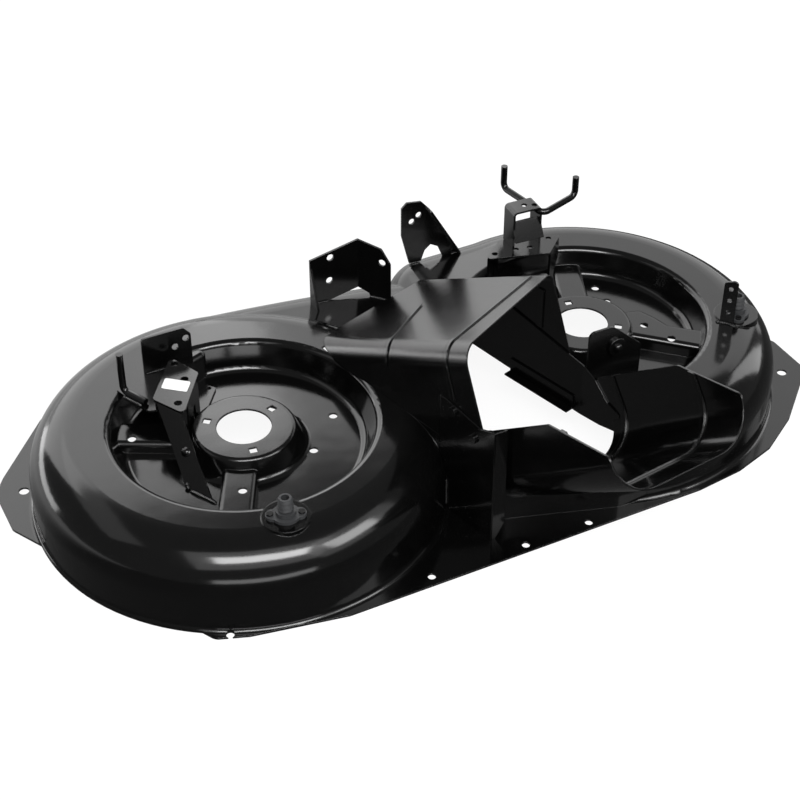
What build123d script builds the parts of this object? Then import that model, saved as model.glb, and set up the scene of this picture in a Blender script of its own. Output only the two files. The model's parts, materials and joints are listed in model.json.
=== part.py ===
from build123d import *
import math
import os

# Sheet and stock, in millimetres.
SHEET = 2.3
PLATE = 3.0
ROD_D = 9.0
ROD_BEND = 9.0

# Overall reach, measured from the middle of the line joining the two spindles.
SPINDLE_SPACING = 490.0
EAR_REACH = 537.0
REAR_EDGE = 268.0
LIP_REACH = 420.0
SPINDLES = (-SPINDLE_SPACING / 2, SPINDLE_SPACING / 2)

# Each pan: middle of its wall circle and the circle's radius. The walls sit a little off the spindles.
LEFT_PAN = (SPINDLES[0] - 4.0, 7.0, 262.0)
RIGHT_PAN = (SPINDLES[1], 2.0, 259.5)

# Pan section, from the wall inwards to the hub.
CROWN_Z = 108.0
SHOULDER_R = 58.0
FOOT_ROUND = 7.0
RIM_R = 165.0
RIM_ROUND = 9.0
RIM_FALL = 14.0
DISH_R = RIM_R - RIM_FALL
FLOOR_Z = 70.0
DISH_ROUND = 10.0
BOSS_R = 77.0
BOSS_ROUND = 9.0
HUB_R = 64.0
HUB_Z = 97.0
HUB_ROUND = 6.0
SPINDLE_BORE_R = 34.3
SPINDLE_BOLT_R = 48.2
SPINDLE_BOLT_SIDE = 9.5
LEFT_BOLT_TURN = 20.8
RIGHT_BOLT_TURN = 81.3

# Straight webs pressed up between hub and rim: angle about the spindle, seen from above.
SPOKE_Z = 85.0
SPOKE_W = 44.0
WEB_ROUND = 7.0
LEFT_SPOKES = (152.0, -117.0)
RIGHT_SPOKES = (67.0,)

# Shaped webs: corners by distance from the spindle and angle, corner rounding and height.
RIGHT_WEB = (
    (HUB_R - 8.0, -44.0),
    (RIM_R + 7.0, -44.0),
    (RIM_R + 7.0, -29.0),
    (146.0, -28.0),
    (117.0, -24.0),
    (105.0, -14.0),
    (92.0, 0.0),
    (HUB_R - 8.0, 10.0),
)
RIGHT_WEB_Z = 90.0
LEFT_SHELF = (
    (RIM_R + 25.0, 62.0),
    (RIM_R + 10.0, 67.0),
    (RIM_R - 10.0, 82.0),
    (RIM_R - 22.0, 93.0),
    (RIM_R - 24.0, 122.0),
    (RIM_R + 25.0, 122.0),
)
WEB_CORNER = 9.0

# Round holes in the dish: distance from the spindle and angle.
DISH_HOLE_R = 5.5
LEFT_DISH_HOLES = ((121.0, 0.0), (87.0, -36.0), (107.0, -114.0), (139.0, 157.0), (124.0, 139.0))
RIGHT_DISH_HOLES = ((84.0, -25.0), (120.0, -40.0), (98.0, 37.0), (124.0, 49.0), (146.0, 65.0))

# Front of the bridge: a long shallow arc that leaves the left pan and dips to the right, and the
# rounded end of the right pan that rises from it.
SADDLE_START = 88.9
SADDLE_R = 2400.0
SADDLE_LAP = 35.0
SADDLE_DIP = 3.0
SADDLE_SET = 1.5
KNOB_LEFT = 56.0
KNOB_FRONT = 256.5
KNOB_RIGHT = (240.0, 259.0)
KNOB_REAR = 100.0
KNOB_CORNER = 62.0

# Rear of the bridge, in plan, from the left wall of the tunnel to the right pan.
REAR_WALL = ((9.0, -203.0), (150.0, -249.0), (190.0, -252.0))
REAR_CORNER = 34.0
REAR_DEPTH = -60.0

# Flange outline: this half, turned half a turn about the middle, gives the other half.
FLANGE_LIP = 3.0
FLANGE_CORNER = 14.0
FLANGE_HALF = (
    (-384.0, -232.0),
    (-346.0, -246.0),
    (-229.0, -REAR_EDGE),
    (262.0, -REAR_EDGE),
    (329.0, -260.0),
    (390.0, -241.0),
    (450.0, -203.0),
    (EAR_REACH - 13.0, -136.0),
    (EAR_REACH, -118.0),
    (EAR_REACH, -52.0),
)
LEFT_EAR = (
    (-EAR_REACH, 60.0),
    (-EAR_REACH, 122.0),
    (-EAR_REACH + 11.0, 143.0),
    (-EAR_REACH + 18.0, 153.0),
    (-438.0, 249.0),
    (-390.0, 249.0),
    (-300.0, 60.0),
)
FRONT_REACH = LEFT_PAN[1] + LEFT_PAN[2] + FLANGE_LIP
EAR_HOLE = (EAR_REACH - 34.0, -116.0)
EAR_HOLE_R = 6.5
FLANGE_HOLES = ((-366.0, -234.0), (-115.0, -254.0), (13.0, -257.0), (103.0, -257.0))
FLANGE_HOLE_R = 5.0

# Discharge tunnel: plan lines of its two walls, front end first, then the planes of roof and mouth.
LEFT_WALL = ((-104.0, 110.0), (-26.3, -206.6))
RIGHT_WALL_FRONT = (97.2, 175.0)
RIGHT_BEND_Y = -108.5
ROOF_POINT = (-69.0, -33.0, 182.0)
ROOF_NORMAL = (-0.1613, 0.4443, 0.8966)
MOUTH_POINT = (-35.0, -172.0, 257.0)
MOUTH_NORMAL = (0.5455, -0.7667, 0.3387)
LEFT_SHOULDER_R = 26.0
RIGHT_SHOULDER_R = 13.0
HOOD_FOOT_Z = 40.0
HOOD_REAR_CUT = ((-150.0, 112.0), (-214.0, 158.0))

# Ribs across the hood: two points on the roof, one on the left wall where the rib ends.
HOOD_RIBS = (
    ((-69.0, -34.0, 182.0), (91.0, 117.0, 136.0), (-68.0, -36.6, 156.0)),
    ((-43.0, -137.0, 238.0), (142.0, -26.0, 217.0), (-38.1, -158.3, 174.0)),
)
RIB_W = 6.0
RIB_RISE = 1.8
WALL_RIB = ((-28.0, -37.0), (139.0, 198.0))

# Right lower wall of the tunnel. The seam with the hood is given by y and height.
SEAM = ((190.0, 92.0), (84.0, 92.0), (23.0, 135.0), (-96.0, 110.0), (-160.0, 97.0))
SEAM_LAP = 12.0
BAFFLE_LOW = 50.0
BAFFLE_TOP = SEAM[3][1] + SEAM_LAP - 3.0
BAFFLE_TAIL = ((-147.0, 49.0), (-195.0, 63.0), (-181.0, 86.5), (-158.0, 91.0), (-133.0, 111.0))
BAFFLE_BEND_LOW = 42.0
STRIP_RUN = (9.0, -98.0)
STRIP_Z = (44.0, 66.0)
STRIP_FOOT = 13.0

# Outlet trough: a U section along a rising, slightly turned axis.
TROUGH_ORIGIN = (0.0, -231.0, 47.0)
TROUGH_TURN = 7.9
TROUGH_RISE = 37.3
TROUGH_W = 197.0
TROUGH_DEEP = 98.0
TROUGH_SHALLOW = 54.0
TROUGH_PEAK = 154.0
TROUGH_END = 249.0
TROUGH_FRONT = -40.0
TROUGH_LEFT_EDGE = -35.0
TROUGH_RIGHT_EDGE = 3.0
TROUGH_TOP_EDGE = -32.0
TROUGH_CORNER_L = 46.0
TROUGH_CORNER_R = 56.0
TROUGH_RIBS = (12.0, 172.0)
TROUGH_RIB_W = 8.0
TROUGH_RIB_RISE = 2.5

# Gusset on the tunnel's left wall and the post it folds into, left of the outlet.
GUSSET_FRONT = -138.0
GUSSET_TOP = ((-150.0, 172.0), (-208.0, 163.0), (-226.0, 170.0))
GUSSET_BOLTS = ((-161.6, 162.0), (-196.5, 141.8))
GUSSET_BOLT_R = 6.0
GUSSET_BOLT_H = 3.5
POST_Y = -231.0
POST_W = 19.0
POST_TOP = 170.0
POST_NOTCH = (12.0, 22.0)

# Wash nozzles: place in plan and turn of their ears, the pads under them and the nozzle section.
NOZZLE_SPOTS = ((SPINDLES[0] - 26.0, -188.0, -20.0), (SPINDLES[1] + 184.0, -90.0, 62.0))
PAD_RISE = 2.0
PAD_R = 29.0
PAD_Z = CROWN_Z + PAD_RISE
NOZZLE_PLATE = 4.0
NOZZLE_PLATE_R = 17.0
NOZZLE_EAR = (24.0, 9.0)
NOZZLE_COLLAR = (12.0, 6.0)
NOZZLE_STEM_R = 7.5
NOZZLE_BARB_R = 9.5
NOZZLE_BARB_H = 6.0
NOZZLE_BARBS = 3
NOZZLE_BORE_R = 5.0
RIVET_OUT = 18.5
RIVET_R = 2.5
RIVET_HEAD_R = 4.2
RIVET_HEAD_H = 2.2

# Idler bracket, measured from the left spindle: its top, holes, legs and foot.
IDLER_Z = 130.0
IDLER_TOP = ((-43.7, 133.2), (-23.4, 86.6), (-69.7, 17.1), (-93.9, 61.7))
IDLER_HOLES = ((-44.5, 117.0), (-44.0, 82.0), (-68.7, 40.0))
IDLER_HOLE_R = 5.0
IDLER_CORNER = 6.0
IDLER_LEG = (8.0, 62.0)
IDLER_ARCH = (26.0, 44.0, 104.0)
IDLER_FOOT = ((-31.0, 81.0), (-23.0, 75.0), (9.0, 118.0), (-1.0, 132.0), (-17.0, 119.0))
IDLER_FOOT_HOLE = (0.0, 121.0)
IDLER_BASE = ((-121.0, 124.0), (-77.0, 158.0), (-41.0, 128.0), (-89.0, 62.0), (-101.0, 66.0))
BASE_TOP = CROWN_Z + PLATE
BRACE_FOOT = (-93.7, -54.0)
BRACE_FOOT_W = 41.0

# Belt keeper rod on the left: upright, foot and the end of the foot, from the left spindle.
LEFT_KEEPER = ((-115.0, 112.0), (-98.0, 78.0))
LEFT_KEEPER_TOP = 172.0

# Left hanger plate: its plane, corners in x and height, and holes.
LEFT_HANGER_Y = 141.0
LEFT_HANGER = ((-78.0, BASE_TOP), (-78.0, 165.0), (-21.0, 165.0), (-12.0, 154.0), (-12.0, FLOOR_Z))
LEFT_HANGER_STEP = -34.0
LEFT_HANGER_HOLES = ((-19.0, 149.0), (-34.0, 140.0))

# Front angle hanger: plane of its plate, corners in x and height, the wing and the left return.
ANGLE_Y = 203.0
ANGLE_LOW = 85.0
ANGLE_PLATE = ((-62.0, ANGLE_LOW), (-62.0, 168.0), (10.0, 182.0), (10.0, 106.0), (-35.0, 97.0))
ANGLE_FOOT = (-42.0, ANGLE_LOW)
ANGLE_WING_END = (43.0, 168.0)
ANGLE_WING = ((0.0, 106.0), (0.0, 182.0), (35.0, 173.0), (48.0, 151.0), (48.0, ANGLE_LOW))
ANGLE_WING_FOOT = ((22.0, ANGLE_LOW), (17.0, 99.0))
ANGLE_RETURN = ((0.0, ANGLE_LOW), (0.0, 164.0), (23.0, 99.0), (23.0, ANGLE_LOW))
ANGLE_HOLES = ((-32.0, 165.0), (-34.0, 129.0))
ANGLE_WING_HOLE = (36.0, 152.0)
HANGER_HOLE_R = 5.0

# Front hanger tab: plane of its plate, corners in x and height, arch and the return on its right edge.
TAB_Y = 218.0
TAB_LOW = 80.0
TAB_LEFT = ((95.0, 109.0), (83.0, 156.0), (83.0, 200.0), (91.0, 207.5))
TAB_RIGHT = ((113.0, 204.0), (126.0, 189.0), (168.0, 117.0), (186.0, TAB_LOW))
TAB_ARCH = ((158.0, TAB_LOW), (140.0, 124.0), (128.0, 131.0), (119.0, 124.0), (113.0, 108.0))
TAB_RETURN = 11.0
TAB_HOLES = ((98.4, 176.0), (109.0, 184.0))
TAB_HOLE_R = 4.5

# Tower over the right dish, measured from the right spindle and held at the rim.
TOWER_MID = (-21.0, RIM_R - 40.0)
TOWER_Z = 150.0
TOWER_TOP = ((-60.0, -3.0), (-22.0, 30.0), (61.0, 4.0), (25.0, -29.0))
TOWER_CORNER = 4.0
TOWER_HOLES = ((-43.0, 3.0), (-12.0, 0.0), (8.0, -4.0), (42.0, 4.0))
TOWER_HOLE_R = 4.0
TOWER_LEG = (5.0, 45.0)
TOWER_ARCH = (18.0, 33.0, 128.0)
TOWER_EAR = (118.0, 104.0)
TOWER_FOOT = 24.0

# Cap on the tower: a channel with a sloping front lip, and the belt keeper rod under its top.
CAP_Z = 207.0
CAP_W = 43.0
CAP_D = 28.0
CAP_MID = (6.0, 15.0)
CAP_TURN = -3.0
CAP_CORNER = 6.0
CAP_HOLES = ((1.0, 0.0), (14.0, -5.0))
CAP_HOLE_R = 4.0
CAP_LIP = ((-9.0, 14.0), (5.0, 39.0))
KEEPER_PATH = ((11.0, 78.0), (25.0, -5.0), (88.0, 16.0))
KEEPER_TOPS = (34.0, 29.0)

# Lift plate behind the right hub, with its washer and domed stud.
LIFT_Y = -109.0
LIFT_PLATE = ((216.0, 170.0), (262.0, 129.0))
LIFT_LOW = 50.0
LIFT_SPOT = (223.0, 138.0)
LIFT_WASHER = (13.0, 4.0)
LIFT_STUD_R = 6.0
LIFT_STUD_OUT = 9.0

# Right hanger tab: plan line, heights of its sloping top and its holes.
STRIP_LINE = ((SPINDLES[1] + 155.0, -94.0), (SPINDLES[1] + 168.0, -107.0))
STRIP_TOP = (172.0, 177.0)
STRIP_HOLES = (127.0, 145.0, 163.0)
STRIP_HOLE_R = 3.2

# Reach of cutting blocks and overlap of cuts, larger than anything they cut.
FAR = 1500.0
CUT = 60.0
OUT = "parts"


def offset_open(points, gap):
    """Shift an open run of corners to its left by a gap, each stretch staying parallel."""
    lines = []
    for (x0, y0), (x1, y1) in zip(points, points[1:]):
        run = math.hypot(x1 - x0, y1 - y0)
        nx = -(y1 - y0) / run
        ny = (x1 - x0) / run
        lines.append((x0 + nx * gap, y0 + ny * gap, x1 - x0, y1 - y0))
    moved = [(lines[0][0], lines[0][1])]
    for (ax, ay, adx, ady), (bx, by, bdx, bdy) in zip(lines, lines[1:]):
        cross = adx * bdy - ady * bdx
        t = ((bx - ax) * bdy - (by - ay) * bdx) / cross
        moved.append((ax + adx * t, ay + ady * t))
    last = lines[-1]
    moved.append((last[0] + last[2], last[1] + last[3]))
    return moved


def outline(points, radii=0.0):
    """Flat face from a closed run of corners, each rounded by its radius."""
    if not isinstance(radii, (list, tuple)):
        radii = [radii] * len(points)
    return make_face(FilletPolyline(*points, radius=list(radii), close=True))


def prism(points, low, high, radii=0.0):
    """Upright prism over a plan outline between two heights."""
    return Pos(0, 0, low) * extrude(outline(points, radii), high - low)


def table(points, top, thick, radii=0.0):
    """Level plate with its top face at a height."""
    return prism(points, top - thick, top, radii)


def upright(points, y, thick, radii=0.0):
    """Plate facing the rear: corners in x and z, its front face at y."""
    return extrude(Pos(0, y, 0) * (Plane.XZ * outline(points, radii)), thick)


def wall_plane(start, end):
    """Upright plane along a plan line: local x runs along it, local y is up."""
    dx = end[0] - start[0]
    dy = end[1] - start[1]
    run = math.hypot(dx, dy)
    return Plane(
        origin=(start[0], start[1], 0),
        x_dir=(dx / run, dy / run, 0),
        z_dir=(dy / run, -dx / run, 0),
    )


def fence(start, end, points, thick, radii=0.0):
    """Upright plate along a plan line, thickened to the right of the line."""
    return extrude(wall_plane(start, end) * outline(points, radii), thick)


def side_profile(points, near_x, far_x):
    """Prism across x over corners given by y and height."""
    return extrude(Pos(near_x, 0, 0) * (Plane.YZ * outline(points)), far_x - near_x)


def half_space(point, normal):
    """Large block on the side of a plane that its normal points to."""
    block = Box(FAR, FAR, FAR, align=(Align.CENTER, Align.CENTER, Align.MIN))
    return Plane(origin=point, z_dir=normal) * block


def post(radius, height):
    """Upright cylinder standing on the level."""
    return Cylinder(radius, height, align=(Align.CENTER, Align.CENTER, Align.MIN))


def drill(x, y, z, radius):
    """Upright drill centred at a place."""
    return Pos(x, y, z) * Cylinder(radius, CUT)


def drill_rear(x, y, z, radius):
    """Level drill that points to the rear, centred at a place."""
    return Pos(x, y, z) * Rot(90, 0, 0) * Cylinder(radius, CUT / 2)


def rod(points, bend):
    """Round rod bent along a run of points."""
    path = FilletPolyline(*points, radius=bend)
    start = Plane(origin=path @ 0, z_dir=path % 0)
    return sweep(start * Circle(ROD_D / 2), path=path)


def polar(radius, angle):
    """Plan point at a distance and an angle in degrees."""
    a = math.radians(angle)
    return (radius * math.cos(a), radius * math.sin(a))


def moved(points, middle):
    """Plan points carried along with a middle point."""
    return [(x + middle[0], y + middle[1]) for x, y in points]


def pan_section(radius, inset):
    """Half section of a pan: upright wall, shoulder and flat crown."""
    corners = [
        (radius - inset, -inset),
        (radius - inset, CROWN_Z - inset),
        (0.0, CROWN_Z - inset),
        (0.0, -inset),
    ]
    return Plane.XZ * outline(corners, [0.0, SHOULDER_R - inset, 0.0, 0.0])


def puck_body(pan, inset):
    """Round block of one pan."""
    x, y, radius = pan
    return Pos(x, y, 0) * revolve(pan_section(radius, inset), Axis.Z)


def saddle_body(inset):
    """Front of the bridge: the left pan's section carried along a shallow arc that dips."""
    x, y, radius = LEFT_PAN
    axis = Axis((radius - SADDLE_R, 0, 0), (0, 0, -1))
    sweep_angle = math.degrees((KNOB_LEFT - x + SADDLE_LAP) / SADDLE_R)
    arc = revolve(pan_section(radius - SADDLE_SET, inset), axis, sweep_angle)
    arc = Pos(x, y, 0) * Rot(0, 0, SADDLE_START) * Rot(SADDLE_DIP, 0, 0) * arc
    return arc - half_space((0, 0, -inset), (0, 0, -1))


def knob_body(inset):
    """Rounded front end of the right pan, beyond its wall circle."""
    corners = [
        (KNOB_LEFT + inset, KNOB_REAR),
        (KNOB_LEFT + inset, KNOB_FRONT - inset),
        (KNOB_RIGHT[0], KNOB_RIGHT[1] - inset),
        (KNOB_RIGHT[0], KNOB_REAR),
    ]
    top = CROWN_Z - inset
    block = prism(corners, -inset, top, [0.0, KNOB_CORNER - inset, 0.0, 0.0])
    rim = block.edges().filter_by_position(Axis.Z, top - 0.01, top + 0.01)
    rim = rim.filter_by(lambda e: (e @ 0.5).X < KNOB_RIGHT[0] - 1.0)
    rim = rim.filter_by(lambda e: (e @ 0.5).Y > KNOB_REAR + 1.0)
    return fillet(rim, SHOULDER_R - inset)


def rear_body(inset):
    """Rear wall and crown between the tunnel's left wall and the right pan."""
    corners = [
        line_at(LEFT_WALL, REAR_DEPTH),
        LEFT_WALL[1],
        *REAR_WALL,
        (REAR_WALL[-1][0], REAR_DEPTH),
    ]
    face = outline(corners, [0.0, 0.0, REAR_CORNER, REAR_CORNER, 0.0, 0.0])
    if inset > 0:
        face = offset(face, -inset)
    return Pos(0, 0, -inset) * extrude(face, CROWN_Z)


def bowl_body(inset):
    """The space above the dished top, from the rim in to the raised hub."""
    corners = [
        (RIM_R + 19.0, CROWN_Z),
        (RIM_R, CROWN_Z),
        (DISH_R, FLOOR_Z),
        (BOSS_R, FLOOR_Z),
        (HUB_R, HUB_Z),
        (0.0, HUB_Z),
    ]
    rounds = [
        RIM_ROUND - inset,
        DISH_ROUND + inset,
        BOSS_ROUND + inset,
        HUB_ROUND - inset,
    ]
    corners = offset_open(corners, inset)
    ceiling = CROWN_Z + CUT
    corners.append((0.0, ceiling))
    corners.append((corners[0][0], ceiling))
    face = outline(corners, [0.0] + rounds + [0.0, 0.0, 0.0])
    return revolve(Plane.XZ * face, Axis.Z)


def spoke_body(angle, inset):
    """A raised straight web from the hub boss to the rim."""
    near = HUB_R - 19.0
    half = SPOKE_W / 2 - inset
    corners = [(near, -half), (RIM_R - 5.0, -half), (RIM_R - 5.0, half), (near, half)]
    bar = prism(corners, -inset, SPOKE_Z - inset)
    tops = bar.edges().filter_by(Axis.X).sort_by(Axis.Z)[-2:]
    return Rot(0, 0, angle) * fillet(tops, WEB_ROUND - inset)


def web_body(corners, height, inset):
    """A raised shaped web: plan corners by distance and angle, rounded along its top edge."""
    face = outline([polar(*corner) for corner in corners])
    face = offset(offset(face, -WEB_CORNER - inset), WEB_CORNER)
    top = height - inset
    block = Pos(0, 0, -inset) * extrude(face, height)
    rim = block.edges().filter_by_position(Axis.Z, top - 0.01, top + 0.01)
    return fillet(rim, WEB_ROUND - inset)


def deck_body(inset):
    """Pans, bridge, webs and nozzle pads as one body inside the sheet's surface."""
    body = puck_body(LEFT_PAN, inset) + puck_body(RIGHT_PAN, inset)
    body += saddle_body(inset)
    body += knob_body(inset)
    body += rear_body(inset)
    bowl = bowl_body(inset)
    webs = (web_body(LEFT_SHELF, CROWN_Z, inset), web_body(RIGHT_WEB, RIGHT_WEB_Z, inset))
    for x, spokes, web in zip(SPINDLES, (LEFT_SPOKES, RIGHT_SPOKES), webs):
        body -= Pos(x, 0, 0) * bowl
        body += Pos(x, 0, 0) * web
        for angle in spokes:
            body += Pos(x, 0, 0) * spoke_body(angle, inset)
    for x, y, turn in NOZZLE_SPOTS:
        body += Pos(x, y, CROWN_Z / 2) * post(PAD_R - inset, PAD_Z - inset - CROWN_Z / 2)
    return body


def flange_face():
    """Plan of the flat rim all round, with its two ears."""
    half = list(FLANGE_HALF)
    face = outline(half + [(-x, -y) for x, y in half])
    face += outline(LEFT_EAR)
    for x, y, radius in (LEFT_PAN, RIGHT_PAN):
        face += Pos(x, y) * Circle(radius + FLANGE_LIP)
    return offset(offset(face, -FLANGE_CORNER), FLANGE_CORNER)


def pan_foot(pan):
    """Concave round where a pan's wall turns out into the flange."""
    x, y, radius = pan
    reach = FOOT_ROUND + 0.5
    corners = [
        (radius - SHEET / 2, SHEET / 2),
        (radius + reach, SHEET / 2),
        (radius + reach, SHEET),
        (radius, SHEET),
        (radius, SHEET + reach),
        (radius - SHEET / 2, SHEET + reach),
    ]
    face = outline(corners, [0.0, 0.0, 0.0, FOOT_ROUND, 0.0, 0.0])
    return Pos(x, y, 0) * revolve(Plane.XZ * face, Axis.Z)


def trough_frame():
    """Axis, cross and upward directions of the outlet trough."""
    turn = math.radians(TROUGH_TURN)
    rise = math.radians(TROUGH_RISE)
    axis = Vector(
        math.sin(turn) * math.cos(rise),
        -math.cos(turn) * math.cos(rise),
        math.sin(rise),
    )
    cross = Vector(math.cos(turn), math.sin(turn), 0)
    lift = cross.cross(axis)
    if lift.Z < 0:
        lift = lift * -1
    return axis, cross, lift


def trough_bar(gap, start, end, open_top):
    """U shaped bar along the trough axis, its walls moved inwards by the gap."""
    axis, cross, lift = trough_frame()
    plane = Plane(origin=Vector(*TROUGH_ORIGIN) + axis * start, x_dir=cross, z_dir=axis)
    up = 1.0 if (plane.y_dir.Z > 0) else -1.0
    corners = [
        (gap, up * open_top),
        (gap, up * gap),
        (TROUGH_W - gap, up * gap),
        (TROUGH_W - gap, up * open_top),
    ]
    radii = [0.0, TROUGH_CORNER_L - gap, TROUGH_CORNER_R - gap, 0.0]
    return extrude(plane * outline(corners, radii), end - start)


def trough_front():
    """Slanting plane of the trough's front edge: a point and the normal towards the front."""
    axis, cross, lift = trough_frame()
    origin = Vector(*TROUGH_ORIGIN)
    left = origin + axis * TROUGH_LEFT_EDGE
    right = origin + axis * TROUGH_RIGHT_EDGE + cross * TROUGH_W
    top = origin + axis * TROUGH_TOP_EDGE + cross * TROUGH_W + lift * TROUGH_DEEP
    normal = (right - left).cross(top - left).normalized()
    if normal.Y < 0:
        normal = normal * -1
    return tuple(left), tuple(normal)


def arm_inner_x(y):
    """Plan position of the inner face of the trough's right arm."""
    turn = math.radians(TROUGH_TURN)
    px = TROUGH_ORIGIN[0] + TROUGH_W * math.cos(turn)
    py = TROUGH_ORIGIN[1] + TROUGH_W * math.sin(turn)
    return px - (SHEET + math.sin(turn) * (y - py)) / math.cos(turn)


def along(line, y):
    """Distance along a plan line to the place where it crosses a given y."""
    dx = line[1][0] - line[0][0]
    dy = line[1][1] - line[0][1]
    return (y - line[0][1]) / dy * math.hypot(dx, dy)


def line_at(line, y):
    """Point of a plan line at a given y."""
    share = (y - line[0][1]) / (line[1][1] - line[0][1])
    return (line[0][0] + share * (line[1][0] - line[0][0]), y)


TAIL_Y = min(y for y, z in BAFFLE_TAIL)
RIGHT_WALL = (RIGHT_WALL_FRONT, (arm_inner_x(RIGHT_BEND_Y), RIGHT_BEND_Y))
TAIL_LINE = (RIGHT_WALL[1], (arm_inner_x(TAIL_Y), TAIL_Y))


def hood_block(inset):
    """Wedge under the hood's roof and between its walls, moved inwards by the inset."""
    left = offset_open(LEFT_WALL, inset)
    right = offset_open(RIGHT_WALL, SHEET - inset)
    rear = -FAR / 5
    corners = [
        line_at(left, LEFT_WALL[0][1] - inset),
        line_at(left, rear),
        line_at(right, rear),
        line_at(right, RIGHT_WALL_FRONT[1] - inset),
    ]
    block = prism(corners, HOOD_FOOT_Z - inset, FAR / 3)
    roof_point = tuple(p - inset * n for p, n in zip(ROOF_POINT, ROOF_NORMAL))
    block -= half_space(roof_point, ROOF_NORMAL)
    roof = max(block.faces(), key=lambda f: f.normal_at().dot(Vector(*ROOF_NORMAL)))
    sides = roof.edges().sort_by(Axis.X)
    block = fillet(sides[0], LEFT_SHOULDER_R - inset)
    roof = max(block.faces(), key=lambda f: f.normal_at().dot(Vector(*ROOF_NORMAL)))
    sides = roof.edges().sort_by(Axis.X)
    return fillet(sides[-1], RIGHT_SHOULDER_R - inset)


def hood_rib(near, far, low):
    """Raised rib over the roof and down the left wall, in the plane of three points."""
    a = Vector(*near)
    b = Vector(*far)
    c = Vector(*low)
    plane = Plane(origin=a, x_dir=b - a, z_dir=(b - a).cross(c - a))
    length = (b - a).length
    slab = plane * (Pos(length / 2 - CUT / 2, 0, 0) * Box(length + CUT, 2 * CUT + length, RIB_W))
    rib = (hood_block(-RIB_RISE) - hood_block(SHEET / 2)) & slab
    return rib - half_space((0, 0, c.Z), (0, 0, -1))


def tunnel_hood():
    """Folded hood: roof, front lip, left wall and right upper wall, open below and at the mouth."""
    hood = hood_block(0.0) - hood_block(SHEET)
    for rib in HOOD_RIBS:
        hood += hood_rib(*rib)
    rib_run = [along(RIGHT_WALL, y) for y in WALL_RIB[0]]
    low, high = WALL_RIB[1]
    bead = [(rib_run[0], low), (rib_run[0], high), (rib_run[1], high), (rib_run[1], low)]
    hood += fence(*RIGHT_WALL, bead, RIB_RISE)
    hood -= half_space(MOUTH_POINT, MOUTH_NORMAL)
    below = [*SEAM, (SEAM[-1][0], 0.0), (SEAM[0][0], 0.0)]
    hood -= side_profile(below, CUT, FAR / 4)
    rear = HOOD_REAR_CUT[1][0] - CUT
    rear_low = [(HOOD_REAR_CUT[0][0], 0.0), *HOOD_REAR_CUT, (rear, HOOD_REAR_CUT[1][1]), (rear, 0.0)]
    hood -= side_profile(rear_low, -FAR / 10, 0.0)
    return hood - envelope


def tunnel_baffle():
    """Right lower wall of the tunnel, bent to lie inside the trough's right arm."""
    top = [(along(RIGHT_WALL, y), z + SEAM_LAP) for y, z in SEAM[1:3]]
    bend = along(RIGHT_WALL, RIGHT_BEND_Y)
    first = [(top[0][0], BAFFLE_LOW), *top, (bend, BAFFLE_TOP), (bend, BAFFLE_BEND_LOW)]
    panel = fence(*RIGHT_WALL, first, SHEET)
    tail = [(RIGHT_BEND_Y, BAFFLE_BEND_LOW), *BAFFLE_TAIL, (RIGHT_BEND_Y, BAFFLE_TOP)]
    tail = [(along(TAIL_LINE, y), z) for y, z in tail]
    point, normal = trough_front()
    outside = half_space(point, tuple(-n for n in normal))
    outside -= trough_bar(SHEET, TROUGH_FRONT - CUT, TROUGH_END, FAR / 4)
    return panel + (fence(*TAIL_LINE, tail, SHEET) - outside)


def baffle_strip():
    """Folded strip that stiffens the baffle's lower edge."""
    line = offset_open(RIGHT_WALL, -SHEET)
    near, far = [along(line, y) for y in STRIP_RUN]
    low, high = STRIP_Z
    strip = fence(*line, [(near, low), (near, high), (far, high), (far, low)], SHEET)
    foot = [(near, low), (near, low + SHEET), (far, low + SHEET), (far, low)]
    return strip + fence(*line, foot, STRIP_FOOT)


def outlet_gusset():
    """Plate outside the tunnel's left wall, folded into a post at the outlet."""
    corners = [
        (GUSSET_FRONT, SHEET),
        (GUSSET_FRONT, GUSSET_TOP[0][1]),
        *GUSSET_TOP,
        (POST_Y, POST_TOP),
        (POST_Y, SHEET),
    ]
    side = [(along(LEFT_WALL, y), z) for y, z in corners]
    plate = fence(*LEFT_WALL, side, SHEET)
    x0 = line_at(LEFT_WALL, POST_Y)[0] - SHEET
    flange = [
        (x0, SHEET),
        (x0, POST_TOP),
        (x0 + POST_W, POST_TOP),
        (x0 + POST_W, SHEET + POST_NOTCH[1]),
        (x0 + POST_W - POST_NOTCH[0], SHEET),
    ]
    plate += upright(flange, POST_Y + SHEET, SHEET, [0.0, 0.0, 4.0, 0.0, 0.0])
    return plate - envelope - pan_foot(LEFT_PAN)


def gusset_bolts():
    """Two round heads on the gusset."""
    group = []
    for y, z in GUSSET_BOLTS:
        head = Pos(along(LEFT_WALL, y), z, SHEET) * post(GUSSET_BOLT_R, GUSSET_BOLT_H)
        group.append(wall_plane(*LEFT_WALL) * head)
    return Compound(children=group)


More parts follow.
